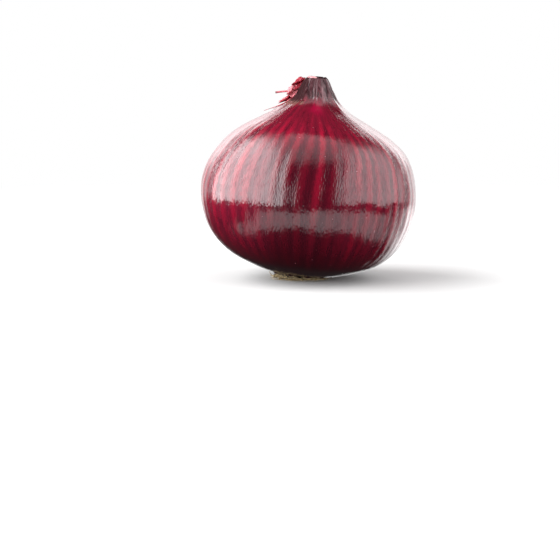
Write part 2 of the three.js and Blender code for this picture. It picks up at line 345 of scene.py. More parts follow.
def new_piece(name, shape, material, replaced, matrix=None):
    """Makes a finished piece of a bmesh: smooth, riding on the body, with its material."""
    if matrix is not None:
        bmesh.ops.transform(shape, matrix=matrix, verts=shape.verts)
    for face in shape.faces:
        face.smooth = True
    mesh = bpy.data.meshes.new(name)
    shape.to_mesh(mesh)
    shape.free()
    piece = bpy.data.objects.new(name, mesh)
    bpy.context.scene.collection.objects.link(piece)
    mesh.materials.append(material)
    return declare(piece, replaced)


def declare(piece, replaced):
    """Makes a piece ride on the body, and hides the solid that it stands for."""
    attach(piece, BODY)
    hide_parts(replaced)
    return piece


def spun(profile, segments):
    """A closed shape turned round Z from (radius, height, mark) rings that start and end on the axis.

    Each vertex keeps its ring's mark in the layer named mark.
    """
    shape = bmesh.new()
    marks = shape.verts.layers.float.new("mark")
    chain = []
    for radius, height, mark in profile:
        vert = shape.verts.new((radius, 0.0, height))
        vert[marks] = mark
        chain.append(vert)
    edges = [shape.edges.new(pair) for pair in zip(chain, chain[1:])]
    bmesh.ops.spin(
        shape,
        geom=chain + edges,
        cent=(0.0, 0.0, 0.0),
        axis=(0.0, 0.0, 1.0),
        angle=2 * math.pi,
        steps=segments,
        use_merge=True,
    )
    bmesh.ops.remove_doubles(shape, verts=shape.verts, dist=1e-5)
    bmesh.ops.recalc_face_normals(shape, faces=shape.faces)
    return shape


# Materials


class Nodes:
    """A node tree, with short ways to add what the finishes and the studio need."""

    def __init__(self, tree):
        self.tree = tree

    def add(self, kind, inputs=None, **settings):
        """Adds a node with its settings and inputs."""
        made = self.tree.nodes.new(kind)
        for key, value in settings.items():
            setattr(made, key, value)
        for key, value in (inputs or {}).items():
            self.put(made.inputs[key], value)
        return made

    def put(self, socket, value):
        """Links a socket to another node's output, or sets its value."""
        if isinstance(value, bpy.types.NodeSocket):
            self.tree.links.new(value, socket)
        elif socket.type == "RGBA" and len(value) == 3:
            socket.default_value = (*value, 1.0)
        else:
            socket.default_value = value

    def math(self, operation, first, second=0.0):
        return self.add("ShaderNodeMath", {0: first, 1: second}, operation=operation).outputs[0]

    def times(self, first, second):
        return self.math("MULTIPLY", first, second)

    def plus(self, first, second):
        return self.math("ADD", first, second)

    def band(self, value, low, high, bottom=0.0, top=1.0):
        """Maps a value smoothly from between low and high to between bottom and top."""
        values = {"Value": value, "From Min": low, "From Max": high, "To Min": bottom, "To Max": top}
        return self.add("ShaderNodeMapRange", values, interpolation_type="SMOOTHSTEP").outputs[0]

    def mix(self, share, first, second):
        """A colour between two, by a share from 0 to 1."""
        made = self.add("ShaderNodeMix", data_type="RGBA")
        sockets = [socket for socket in made.inputs if socket.enabled]
        for socket, value in zip(sockets, (share, first, second)):
            self.put(socket, value)
        return next(socket for socket in made.outputs if socket.enabled)


class Finish(Nodes):
    """A material's nodes round its one shader."""

    def __init__(self, name):
        self.material = bpy.data.materials.new(name)
        self.material.use_nodes = True
        super().__init__(self.material.node_tree)
        self.shader = self.tree.nodes["Principled BSDF"]

    def set(self, **values):
        """Sets the shader's sockets, which are named with underscores for spaces."""
        for key, value in values.items():
            self.put(self.shader.inputs[key.replace("_", " ")], value)

    def attribute(self, name, output="Fac"):
        return self.add("ShaderNodeAttribute", attribute_name=name).outputs[output]

    def place(self):
        return self.add("ShaderNodeTexCoord").outputs["Object"]

    def stretch(self, vector, by):
        return self.add("ShaderNodeVectorMath", {0: vector, 1: by}, operation="MULTIPLY").outputs[0]

    def noise(self, vector, scale, detail=3.0, roughness=0.55):
        values = {"Vector": vector, "Scale": scale, "Detail": detail, "Roughness": roughness}
        return self.add("ShaderNodeTexNoise", values).outputs["Fac"]

    def grain(self, vector, pattern):
        """Noise of a pattern of fineness, detail and roughness."""
        fineness, detail, roughness = pattern
        return self.noise(self.stretch(vector, fineness), 1.0, detail, roughness)

    def ramp(self, value, *stops):
        """A colour ramp through (place, colour) stops."""
        made = self.add("ShaderNodeValToRGB", {"Fac": value})
        steps = made.color_ramp.elements
        while len(steps) < len(stops):
            steps.new(0.5)
        for step, (where, colour) in zip(steps, stops):
            step.position = where
            step.color = (*colour, 1.0)
        return made.outputs["Color"]

    def bump(self, height, distance):
        """Gives the shader fine relief, with its depth in metres."""
        values = {"Height": height, "Distance": distance, "Strength": 1.0}
        self.set(Normal=self.add("ShaderNodeBump", values).outputs["Normal"])


def skin_finish(name, dullness, specular, colours):
    """Red skin: dark ground, paler veins, fine fibres, and a dry brown neck.

    Dullness is added to the roughness, and specular is how strongly the skin shines. Shade is painted into
    the colour under the bulb, in the middle of its front, in the neck's creases and pleats, on the neck's
    left flank and at its cut rim.
    """
    finish = Finish(name)
    lie = finish.attribute("lie", "Vector")
    along = finish.attribute("along")
    fibres = finish.grain(lie, FIBRES)
    threads = finish.grain(lie, FINE_THREADS)
    streaks = finish.grain(lie, STREAKS)
    smears = finish.grain(lie, SMEARS)

    level = finish.plus(along, finish.band(streaks, 0.3, 0.7, -0.015, 0.015))
    # Both colours darken to the underside colour towards the roots: painted shade under the bulb.
    ground = finish.ramp(
        level,
        (0.21, colours.dark[:3]),
        (0.40, colours.ground[:3]),
        (0.58, colours.ground[:3]),
        (0.68, colours.shoulder[:3]),
        (DRY_BAND[0], colours.shoulder[:3]),
        (DRY_BAND[1], colours.neck[:3]),
    )
    pale = finish.ramp(
        level,
        (0.22, colours.dark[:3]),
        (0.44, colours.vein[:3]),
        (DRY_BAND[0], colours.vein[:3]),
        (DRY_BAND[1], colours.neck[:3]),
    )
    edge = finish.plus(finish.attribute("vein"), finish.band(fibres, 0.3, 0.7, -0.6, 0.6))
    lines = finish.times(finish.band(edge, -0.9, 1.0), finish.attribute("vein_strength"))
    lines = finish.times(lines, finish.band(along, 0.62, 0.72, 1.0, 0.3))
    lines = finish.math("MAXIMUM", lines, finish.band(streaks, 0.46, 0.72, 0.0, 0.4))
    colour = finish.mix(lines, ground, pale)
    # Darker mottle at random and painted shade in the middle of the front both darken the skin to the
    # underside colour.
    dull = finish.band(finish.plus(threads, finish.times(smears, 0.5)), 0.85, 0.55, 0.0, 0.45)
    deep = finish.math("MAXIMUM", dull, finish.attribute("deep"))
    colour = finish.mix(deep, colour, colours.dark[:3])
    colour = finish.mix(finish.times(finish.attribute("fresh"), 0.9), colour, colours.fresh[:3])
    colour = finish.mix(finish.attribute("pale_patch"), colour, colours.pale_neck[:3])
    # Painted shade on the neck's left flank: tan dry skin at its foot, dark brown above.
    shaded_neck = finish.mix(finish.band(level, *DARK_BAND), colours.tan[:3], colours.brown[:3])
    colour = finish.mix(finish.attribute("flank_shade_and_tan"), colour, shaded_neck)
    # Painted shade in the neck's creases and in the hollows between its pleats.
    colour = finish.mix(finish.times(finish.attribute("painted_crease_shade"), 0.8), colour, colours.painted_crease_shade[:3])
    colour = finish.mix(finish.attribute("torn_rim"), colour, colours.rim[:3])
    # Painted shade at the right of the cut rim and inside the neck's hole.
    colour = finish.mix(finish.attribute("rim_and_hole_shade"), colour, colours.painted_crease_shade[:3])
    specks = finish.band(finish.noise(finish.place(), 700.0, 1.0), 0.76, 0.80, 0.0, 0.5)
    colour = finish.mix(specks, colour, colours.speck[:3])
    finish.set(Base_Color=colour)

    finish.set(Roughness=finish.band(fibres, 0.3, 0.7, 0.09 + dullness, 0.15 + dullness))
    finish.set(IOR=1.5, Specular_IOR_Level=specular)
    shine = finish.mix(lines, (0.84, 0.86, 0.88), (1.0, 1.0, 1.0))
    finish.set(Specular_Tint=finish.mix(finish.band(threads, 0.34, 0.56), (0.58, 0.58, 0.60), shine))
    dents = finish.times(finish.grain(lie, FINE_DENTS), finish.attribute("girth"))
    finish.bump(dents, FINE_DENT_DEPTH * MM)
    return finish.material


def paper_finish(name, light, dark, roughness):
    """Dry papery skin: streaked between two colours, a little see-through."""
    finish = Finish(name)
    place = finish.place()
    streaks = finish.noise(finish.stretch(place, (700.0, 700.0, 260.0)), 1.0, 4.0, 0.6)
    blotches = finish.noise(place, 300.0, 2.0)
    share = finish.band(finish.plus(streaks, blotches), 0.75, 1.3)
    finish.set(Base_Color=finish.mix(share, dark, light), Roughness=roughness)
    finish.set(Subsurface_Weight=0.15, Subsurface_Radius=(0.0006, 0.0003, 0.0003))
    finish.bump(streaks, 0.00008)
    return finish.material


def root_finish(name, light, dark):
    """Dried root: matt, mottled between two colours."""
    finish = Finish(name)
    mottle = finish.noise(finish.place(), 520.0, 4.0, 0.6)
    finish.set(Base_Color=finish.mix(finish.band(mottle, 0.38, 0.62), dark, light), Roughness=0.85)
    finish.bump(finish.noise(finish.place(), 1800.0, 2.0), 0.0001)
    return finish.material


# Settings


class OnionSizes(bpy.types.PropertyGroup):
    """Sizes that a user would change."""

    lean: bpy.props.FloatProperty(
        name="Lean",
        description="How far the bulb's axis leans towards +X",
        default=math.radians(5.5),
        subtype="ANGLE",
    )
    vein_height: bpy.props.FloatProperty(
        name="Vein height",
        description="How far a vein stands out of the skin",
        default=0.00007,
        unit="LENGTH",
    )
    torn_thickness: bpy.props.FloatProperty(
        name="Torn skin thickness",
        description="How thick the torn skin at the neck is",
        default=0.00016,
        unit="LENGTH",
    )
    root_radius: bpy.props.FloatProperty(
        name="Root radius",
        description="Radius of a dried root where it leaves the plate",
        default=0.00026,
        unit="LENGTH",
    )


def colour_setting(name, description, value):
    """A colour that a user would change."""
    return bpy.props.FloatVectorProperty(
        name=name, description=description, default=value, size=3, subtype="COLOR", min=0.0, max=1.0
    )


class OnionColours(bpy.types.PropertyGroup):
    """Colours that a user would change."""

    ground: colour_setting("Skin", "Skin between the veins", (0.130, 0.006, 0.020))
    vein: colour_setting("Veins", "Paler veins in the skin", (0.370, 0.007, 0.032))
    fresh: colour_setting("Fresh skin", "Bright skin at the neck's foot", (0.360, 0.001, 0.036))
    shoulder: colour_setting("Shoulder", "Skin above the widest place", (0.150, 0.006, 0.020))
    # Painted shade: the skin darkens to this colour towards the roots and in the middle of the front. It
    # also colours the darker mottle.
    dark: colour_setting("Underside", "Dark skin near the roots", (0.024, 0.0018, 0.0045))
    neck: colour_setting("Neck", "Dry skin of the neck", (0.092, 0.026, 0.034))
    pale_neck: colour_setting("Pale neck", "Pale patches low on the neck", (0.310, 0.160, 0.180))
    # Painted shade: the dark brown painted on the neck's left flank.
    brown: colour_setting("Dark neck", "Driest skin on the neck's left side", (0.036, 0.010, 0.012))
    tan: colour_setting("Neck foot", "Dry skin under the torn skin", (0.220, 0.110, 0.090))
    rim: colour_setting("Torn rim", "Pale torn rim of the neck", (0.800, 0.380, 0.400))
    # Painted shade: the colour in the neck's creases and pleat hollows, at the right of the cut rim and
    # inside the neck's hole.
    painted_crease_shade: colour_setting("Creases", "Bottom of the neck's creases", (0.024, 0.004, 0.006))
    speck: colour_setting("Specks", "Pale specks in the skin", (0.500, 0.200, 0.240))
    torn: colour_setting("Torn skin", "Pink torn skin at the neck", (0.800, 0.210, 0.250))
    torn_red: colour_setting("Red torn skin", "Crimson torn skin at the neck", (0.540, 0.020, 0.050))
    leaf: colour_setting("Leaf ends", "Dry leaf ends in the neck", (0.060, 0.028, 0.024))
    root: colour_setting("Roots", "Dried roots", (0.400, 0.300, 0.160))
    root_dark: colour_setting("Dark roots", "Older roots and the root plate", (0.100, 0.076, 0.044))


# Pieces


def skin_profile():
    """The bulb's rings as (radius, height, share along the outline), from the dish to the neck hole.

    Shares below 0 are in the dish over the root plate, and shares above 1 in the neck's rim and hole.
    """
    rings = [(0.0, DISH_CEILING, -0.03), (6.0, DISH_CEILING, -0.02), (8.2, DISH_CEILING - 0.2, -0.01)]
    shares = np.linspace(0.0, 1.0, OUTLINE_RINGS + 1)
    for share, (height, radius, _) in zip(shares, outline_at(shares)):
        rings.append((radius, height, share))
    hole_radius = NECK_RADIUS - NECK_WALL
    hole_bottom = NECK_CUT - NECK_HOLE_DEPTH
    rings.append((NECK_RADIUS - 0.5 * NECK_WALL, NECK_CUT + 0.06, 1.001))
    rings.append((hole_radius, NECK_CUT - 0.05, 1.002))
    rings.append((hole_radius - 0.1, NECK_CUT - 1.0, 1.003))
    rings.append((LEAF_ENDS_RADIUS + 0.4, hole_bottom, 1.004))
    rings.append((0.0, hole_bottom, 1.005))
    return rings


def vein_wave(angle, along):
    """The veins as a wave round the bulb: 1 on a vein, -1 between two. Their spacing is uneven."""
    drift = 2.25 * np.cos(2 * angle + 0.314) + 0.5 * np.sin(7 * angle + 1.0) - 0.55
    wobble = 0.7 * np.sin(6 * along + 4 * angle) + 0.4 * np.sin(17 * along + 11 * angle)
    return np.cos(VEINS * angle + drift + wobble)


def all_creases():
    """The neck's chosen creases, and more of the same kind all round it."""
    draw = random.Random(CREASE_SEED)
    more = []
    for k in range(MORE_CREASES):
        angle = -50.0 + 260.0 * k / MORE_CREASES + draw.uniform(-5, 5)
        turn = draw.uniform(-14, 14)
        more.append((angle, draw.uniform(65, 69.5), turn, draw.uniform(1, 3.5), draw.uniform(2, 4), 0.16))
    return list(CREASES) + more


def crease_depth(degrees, height):
    """How deep the neck's creases are at each place, in millimetres."""
    depth = np.zeros(len(degrees))
    for middle, level, turn, half_length, half_width, deep in all_creases():
        up = (height - level) / half_length
        aside = turned_back(degrees - middle - turn * up / 2)
        depth = np.maximum(depth, deep * bell(aside, half_width) * np.clip(1 - up * up, 0, 1))
    return depth


class TurnedSkin:
    """The turned skin's vertices before they move, with what follows for each from its place."""

    def __init__(self, mesh):
        count = len(mesh.vertices)
        places = np.zeros(count * 3)
        mesh.vertices.foreach_get("co", places)
        self.places = places.reshape(-1, 3)
        self.along = np.zeros(count)
        mesh.attributes["mark"].data.foreach_get("value", self.along)
        self.radius = np.hypot(self.places[:, 0], self.places[:, 1])
        self.girth = self.radius / BULB_RADIUS
        self.height = self.places[:, 2].copy()
        self.angle = np.arctan2(self.places[:, 1], self.places[:, 0])
        self.degrees = np.degrees(self.angle)
        self.on_skin = (self.along >= 0) & (self.along <= 1)
        self.in_rim = self.along > 1
        arc = np.interp(self.along, FINE_SHARES, FINE_ARCS)
        self.lie = np.column_stack((np.cos(self.angle), np.sin(self.angle), arc / BULB_RADIUS))

        self.dryness = smoothstep(self.height, PLEATS_START, PLEATS_FULL)
        self.pleat = np.cos(PLEATS * self.angle + np.sin(2 * self.angle))
        self.creases = crease_depth(self.degrees, self.height)
        self.vein = vein_wave(self.angle, self.along)
        self.bright = self.near(*BRIGHT_VEIN)
        self.strength = 0.65 + 0.5 * self.noise((9, 9, 2.5), 1)
        self.strength += 0.4 * self.bright * between(self.along, *BRIGHT_VEIN_SHARES)

    def noise(self, fineness, seed):
        """Soft noise on the skin, of a fineness round and along the bulb."""
        return soft_noise(self.lie * fineness, seed)

    def near(self, degrees, half_width, power=2):
        """1 at an angle, falling off to both sides of it."""
        return bell(self.degrees - degrees, half_width, power)

    def spot(self, degrees, half_width, height, half_height):
        """1 at a place, falling off all round it."""
        return self.near(degrees, half_width) * bell(self.height - height, half_height)

    def within(self, degrees, full, gone):
        """1 up to an angle full away from the given one, and 0 from the angle gone."""
        return 1 - smoothstep(np.abs(self.degrees - degrees), full, gone)


def skin_relief(skin, vein_height):
    """How far each vertex of the skin lies outside the turned form, in millimetres."""
    belly = smoothstep(skin.radius, DISH_REACH, BELLY_FULL)
    relief = vein_height / MM * belly * skin.vein * skin.girth * np.clip(skin.strength, 0.2, 1.2)
    relief += OUT_OF_ROUND * belly * np.sin(2 * skin.angle + 0.7) * np.cos(skin.angle - 0.4)
    relief += BROAD_DENT * belly * soft_noise(skin.places / BROAD_DENT_LENGTH, 2)
    for depth, fineness, seed in DENTS:
        relief += depth * skin.girth * belly * skin.noise(fineness, seed)

    wrinkled = np.clip(skin.near(*WRINKLES) + skin.noise((2.5, 2.5, 1), 8), 0, 1)
    wrinkled *= between(skin.height, *WRINKLE_HEIGHTS)
    relief += WRINKLE_HEIGHT * wrinkled * np.cos(2 * VEINS * skin.angle + 3 * np.sin(5 * skin.angle))
    relief -= FRONT_HOLLOW_DEPTH * skin.near(*FRONT_HOLLOW) * between(skin.height, *FRONT_HOLLOW_HEIGHTS)

    thinning = 1 - 0.5 * smoothstep(skin.height, PLEATS_FULL, NECK_CUT)
    relief += PLEAT_DEPTH * skin.dryness * thinning * skin.pleat
    relief += NECK_ROUGHNESS * skin.dryness * skin.noise((16, 16, 8), 5)
    return relief - skin.creases


def move_skin(mesh, skin, vein_height):
    """Moves the vertices to the skin's veins, pleats and dents, its toothed foot and its ragged rim."""
    slimmer = NECK_SLIMMING * smoothstep(skin.height, *SLIMMING_HEIGHTS)
    relief = skin_relief(skin, vein_height) - slimmer
    rim_relief = (skin.height > NECK_CUT - NECK_RIM_DEPTH) * 0.5 * PLEAT_DEPTH * skin.pleat
    rim_relief -= np.where(skin.radius > NECK_SLIMMING, slimmer, 0.0)
    grown = skin.radius + np.where(skin.on_skin, relief, np.where(skin.in_rim, rim_relief, 0.0))
    grown[skin.radius == 0] = 0.0

    in_dish = skin.on_skin & (skin.radius < DISH_REACH) & (skin.height < PLEATS_START)
    teeth = in_dish * SKIN_TOOTH * np.cos(SKIN_TEETH * skin.angle + 2 * np.sin(skin.angle))
    ragged = smoothstep(skin.height, *RAGGED_HEIGHTS) * skin.noise((4, 4, 0), 6)
    x = np.interp(skin.along, FINE_SHARES, FINE_SWAYS) + grown * np.cos(skin.angle)
    y = grown * np.sin(skin.angle)
    z = skin.height - teeth + np.minimum(RIM_RAGGEDNESS * ragged, 0.0)
    mesh.vertices.foreach_set("co", np.column_stack((x, y, z)).reshape(-1))


def mark_skin(mesh, skin):
    """Marks the vertices with what the skin's finish reads, and gives each face its material."""
    # Darker mottle at random, and painted shade in the middle of the front. Both fade out up the bulb, are
    # lighter on the bright vein and are kept off two sides.
    deep = 0.25 + 0.5 * skin.noise((2.2, 2.2, 0.8), 9)
    deep = np.maximum(deep, 0.68 * skin.near(*PAINTED_FRONT_SHADE, power=4))
    deep *= (1 - 0.4 * np.clip(skin.bright, 0, 1)) * (1 - smoothstep(skin.height, *DEEP_FADE))
    deep *= 1 - sum(skin.near(*side) for side in CLEAR_SIDES)

    fresh = skin.spot(*FRESH_FOOT) + 0.5 * skin.spot(*FRESH_NECK)
    fresh *= 0.6 + 0.4 * skin.noise((14, 14, 14), 7)

    # Painted shade on the neck's left flank, with a ragged edge, narrower near the top.
    rough_edge = 7 * skin.noise((6, 6, 22), 10) + 5 * skin.noise((14, 14, 50), 11)
    away = np.abs(turned_back(skin.degrees - FLANK_SHADE_ANGLE)) + rough_edge
    away += FLANK_SHADE_TOP_NARROWER * smoothstep(skin.height, *FLANK_SHADE_TOP)
    flank_shade_and_tan = (1 - smoothstep(away, *FLANK_SHADE_WIDTHS)) * smoothstep(skin.height, *FLANK_SHADE_FOOT)

    patch = skin.near(*PALE_PATCH, power=4) + 0.5 * skin.near(*SMALL_PALE_PATCH, power=4)
    patch *= smoothstep(skin.height, *PALE_FOOT)
    patch *= 1 - smoothstep(skin.height + 0.4 * rough_edge, *PALE_TOP)
    patch *= 0.7 + 0.5 * skin.noise((30, 30, 20), 13)

    cut = np.where(skin.in_rim, 1.0, smoothstep(skin.height, *RIM_HEIGHTS))
    # Painted shade at the right of the cut rim and inside the neck's hole.
    rim_and_hole_shade = cut * skin.within(*SHADED_RIM)
    # Painted shade in the hollows between the pleats.
    pleat_shade = 0.5 * skin.dryness * np.clip(0.5 - 0.5 * skin.pleat, 0, 1) ** 3
    marks = {
        "girth": skin.girth,
        "pale_patch": np.clip(patch, 0, 1),
        "flank_shade_and_tan": flank_shade_and_tan,
        "torn_rim": cut * skin.within(*TORN_RIM),
        "rim_and_hole_shade": np.maximum(rim_and_hole_shade, (skin.along > NECK_INSIDE) * 1.0),
        "deep": np.clip(deep, 0, 0.7),
        "along": np.clip(skin.along, 0, 1),
        "fresh": fresh,
        "vein": skin.vein,
        "vein_strength": np.clip(skin.strength, 0, 1),
        "painted_crease_shade": np.clip(pleat_shade + skin.creases / CREASE_FULL_SHADE, 0, 1),
    }
    for name, values in marks.items():
        mesh.attributes.new(name, "FLOAT", "POINT").data.foreach_set("value", values)
    mesh.attributes.new("lie", "FLOAT_VECTOR", "POINT").data.foreach_set("vector", skin.lie.reshape(-1))

    dry = skin.along + 0.008 * skin.noise((30, 30, 0), 12) > DRY_FROM
    # The painted shade on the neck's left flank and at the cut rim has the third, dull finish.
    kind = np.where((flank_shade_and_tan > 0.5) | (rim_and_hole_shade > 0.5), SHADE_PAINTED, np.where(dry, DRY, MOIST))
    mesh.polygons.foreach_set("material_index", kind[first_corners(mesh)])


def first_corners(mesh):
    """The vertex at each face's first corner."""
    starts = np.zeros(len(mesh.polygons), dtype=int)
    mesh.polygons.foreach_get("loop_start", starts)
    corners = np.zeros(len(mesh.loops), dtype=int)
    mesh.loops.foreach_get("vertex_index", corners)
    return corners[starts]


class ONION_OT_skin(bpy.types.Operator):
    """Turn the bulb's skin with its veins, pleats and neck"""

    bl_idname = "onion.skin"
    bl_label = "Bulb Skin"

    def execute(self, context):
        scene = context.scene
        shape = spun(skin_profile(), SEGMENTS)
        moist, dry, shaded_neck = (skin_finish(*row, scene.onion_colours) for row in SKIN_FINISHES)
        mesh = new_piece("bulb_skin", shape, moist, "bulb").data
        mesh.materials.append(dry)
        mesh.materials.append(shaded_neck)
        skin = TurnedSkin(mesh)
        move_skin(mesh, skin, scene.onion_sizes.vein_height)
        mark_skin(mesh, skin)
        mesh.update()
        mesh.transform(lean_matrix(scene.onion_sizes.lean))
        return {"FINISHED"}


def leaf_layer(radius, top, phase):
    """A rolled dry leaf: an open tube with a wavy section and a broken upper edge."""
    shape = bmesh.new()
    ring = bmesh.ops.create_circle(shape, cap_ends=False, segments=LEAF_SEGMENTS, radius=radius)["verts"]
    bmesh.ops.translate(shape, verts=ring, vec=(0, 0, NECK_CUT - LEAF_ENDS_DEPTH))
    edges = list(shape.edges)
    step = (top - NECK_CUT + LEAF_ENDS_DEPTH) / LEAF_ROWS
    for _ in range(LEAF_ROWS):
        out = bmesh.ops.extrude_edge_only(shape, edges=edges)["geom"]
        verts = [part for part in out if isinstance(part, bmesh.types.BMVert)]
        edges = [part for part in out if isinstance(part, bmesh.types.BMEdge)]
        bmesh.ops.translate(shape, verts=verts, vec=(0, 0, step))
    for vert in shape.verts:
        angle = math.atan2(vert.co.y, vert.co.x)
        high = (vert.co.z - NECK_CUT + LEAF_ENDS_DEPTH) / LEAF_ENDS_DEPTH
        wave = 0.07 * math.sin(2 * angle + 0.6) + 0.05 * math.sin(5 * angle + phase)
        wave += 0.04 * high * math.sin(9 * angle + 2 * phase)
        vert.co.x *= 1 + wave
        vert.co.y *= 1 + wave
        broken = noise.noise(Vector((2 * math.cos(angle), 2 * math.sin(angle), phase)))
        vert.co.z += high * (0.3 * broken + 0.1 * math.sin(11 * angle + phase))
        vert.co.z = min(vert.co.z, NECK_CUT)
        vert.co.x += NECK_SWAY
    bmesh.ops.recalc_face_normals(shape, faces=shape.faces)
    bmesh.ops.solidify(shape, geom=shape.faces, thickness=LEAF_THICKNESS)
    return shape


def joined(shapes):
    """One bmesh of several, which are freed."""
    whole = bmesh.new()
    for shape in shapes:
        mesh = bpy.data.meshes.new("part")
        shape.to_mesh(mesh)
        shape.free()
        whole.from_mesh(mesh)
        bpy.data.meshes.remove(mesh)
    return whole


class ONION_OT_leaf_ends(bpy.types.Operator):
    """Roll the dry leaf ends that stand in the neck's cut"""

    bl_idname = "onion.leaf_ends"
    bl_label = "Leaf Ends"

    def execute(self, context):
        scene = context.scene
        layers = []
        for k in range(LEAF_LAYERS):
            radius = LEAF_ENDS_RADIUS * (1 - k / LEAF_LAYERS) * LEAF_SHRINKAGE
            top = NECK_CUT - FIRST_LEAF_DROP - NEXT_LEAF_DROP * k
            layers.append(leaf_layer(radius, top, NEXT_LEAF_TURN * k))
        light = tuple(scene.onion_colours.leaf)
        dark = tuple(0.25 * value for value in light)
        finish = paper_finish("dry_leaf", light, dark, 0.8)
        matrix = lean_matrix(scene.onion_sizes.lean)
        new_piece("leaf_end_rolls", joined(layers), finish, "cut_leaf_ends", matrix)
        return {"FINISHED"}


def torn_lobe(root, tip, width, side, crumple, seed):
    """A crumpled lobe of torn skin, from its root to its tip, each as (out, height) beside the neck."""
    shape = bmesh.new()
    bmesh.ops.create_grid(shape, x_segments=LOBE_POINTS, y_segments=LOBE_POINTS, size=0.5)
    length = math.hypot(tip[0] - root[0], tip[1] - root[1])
    out, up = (tip[0] - root[0]) / length, (tip[1] - root[1]) / length
    for vert in shape.verts:
        u, v = vert.co.x + 0.5, vert.co.y
        torn = 1 + 0.35 * noise.noise(Vector((u * 4, v * 5 + seed, seed)))
        half = v * width * (0.5 + 0.5 * math.sin(math.pi * (0.2 + 0.7 * u))) * torn
        reach = length * u * (1 + 0.18 * noise.noise(Vector((v * 6, seed, 2.0))))
        folds = crumple * (0.3 + u) * math.sin(5 * u + 6 * v)
        folds += 0.5 * crumple * noise.noise(Vector((u * 7, v * 7, seed + 5)))
        folds += 0.9 * crumple * abs(noise.noise(Vector((u * 3.5, v * 3.5, seed + 9))))
        vert.co = beside_neck(
            root[0] + out * reach - up * half,
            side + folds + 0.35 * half,
            root[1] + up * reach + out * half + 0.4 * folds,
        )
    return shape


def tapered_strand(name, paths, radius, finishes, replaced):
    """A piece of round strands, of a radius in metres and of several materials.

    Each path is its points in metres, its thickness as a share of the radius, the share of that which
    it loses on the way, and the number of its material.
    """
    curve = bpy.data.curves.new(name, "CURVE")
    curve.dimensions = "3D"
    curve.bevel_depth = radius
    curve.bevel_resolution = 1
    curve.resolution_u = 3
    curve.use_fill_caps = True
    for points, thickness, taper, material in paths:
        spline = curve.splines.new("NURBS")
        spline.points.add(len(points) - 1)
        spline.use_endpoint_u = True
        spline.order_u = 4
        spline.material_index = material
        for k, (point, place) in enumerate(zip(spline.points, points)):
            share = k / (len(points) - 1)
            point.co = (*place, 1.0)
            point.radius = thickness * (1 - taper * share**2)
    for material in finishes:
        curve.materials.append(material)
    drawn = bpy.data.objects.new(name, curve)
    bpy.context.scene.collection.objects.link(drawn)
    mesh = bpy.data.meshes.new_from_object(drawn.evaluated_get(bpy.context.evaluated_depsgraph_get()))
    bpy.data.objects.remove(drawn)
    mesh.name = name
    piece = bpy.data.objects.new(name, mesh)
    bpy.context.scene.collection.objects.link(piece)
    return declare(piece, replaced)


class ONION_OT_torn_skin(bpy.types.Operator):
    """Crumple the torn skin on the neck's left side"""

    bl_idname = "onion.torn_skin"
    bl_label = "Torn Neck Skin"

    def execute(self, context):
        scene = context.scene
        colours = scene.onion_colours
        matrix = lean_matrix(scene.onion_sizes.lean)
        pink_dark = tuple(0.45 * value for value in colours.torn)
        pink = paper_finish("pink_torn_skin", tuple(colours.torn), pink_dark, 0.5)
        red_dark = tuple(0.4 * value for value in colours.torn_red)
        red = paper_finish("red_torn_skin", tuple(colours.torn_red), red_dark, 0.42)
        lobes = (
            ("upper_lobe", red, torn_lobe((-0.7, 69.4), (2.4, 70.3), 4.4, 0.2, 0.8, 1.0)),
            ("middle_lobe", pink, torn_lobe((-0.7, 67.5), (2.8, 66.3), 4.4, -0.6, 0.9, 4.0)),
            ("lower_lobe", red, torn_lobe((-0.5, 66.0), (1.7, 62.7), 2.8, -0.1, 0.7, 8.0)),
        )
        for name, finish, shape in lobes:
            piece = new_piece(name, shape, finish, "torn_neck_skin", matrix)
            thicken(piece, scene.onion_sizes.torn_thickness)
        paths = []
        for places, thickness, taper in ((SPIKE, 0.9, -0.1), (THREAD, 0.5, 0.6), (FORK, 0.35, 0.6)):
            points = [matrix @ beside_neck(*place) for place in places]
            paths.append((points, thickness, taper, 0))
        radius = STRAND_RADIUS * MM
        tapered_strand("spike_and_thread", paths, radius, (pink,), "torn_neck_skin")
        return {"FINISHED"}


def thicken(piece, thickness):
    """Gives a sheet its thickness and one level of smoothing."""
    solid = piece.modifiers.new("thickness", "SOLIDIFY")
    solid.thickness = thickness
    solid.offset = 0.0
    smooth = piece.modifiers.new("smoothing", "SUBSURF")
    smooth.levels = 1
    smooth.render_levels = 1


def underside_over(x, y, lean):
    """How high the bulb's underside is over a point of the ground, in millimetres."""
    height = np.interp(math.hypot(x, y), FINE_RADII[:WIDEST], FINE_HEIGHTS[:WIDEST])
    return height * math.cos(lean) - x * math.sin(lean)


def root_path(draw, lean):
    """The points of one dried root in metres: out of the plate, along the ground, with a curl."""
    direction = draw.uniform(0, 2 * math.pi)
    start = draw.uniform(3.5, PLATE_RADIUS - 1.0)
    reach = start + draw.uniform(2.0, 6.0)
    curl = draw.uniform(-0.9, 0.9)
    twist = draw.uniform(0.5, 1.6)
    lift = draw.random()
    points = []
    for k in range(ROOT_POINTS):
        share = k / (ROOT_POINTS - 1)
        angle = direction + curl * share**2 + 0.12 * math.sin(9 * share * twist)
        radius = start + (reach - start) * share + 0.3 * math.sin(7 * share * twist)
        x, y = radius * math.cos(angle), radius * math.sin(angle)
        room = max(underside_over(x, y, lean) - ROOT_CLEARANCE, 0.0)
        base = LOWEST_ROOT + max(0.0, 1.0 - radius / PLATE_RADIUS) * ROOT_RISE
        height = base + lift * room * (0.6 + 0.4 * math.sin(5 * share * twist))
        points.append(Vector((x, y, max(height, LOWEST_ROOT))) * MM)
    return points


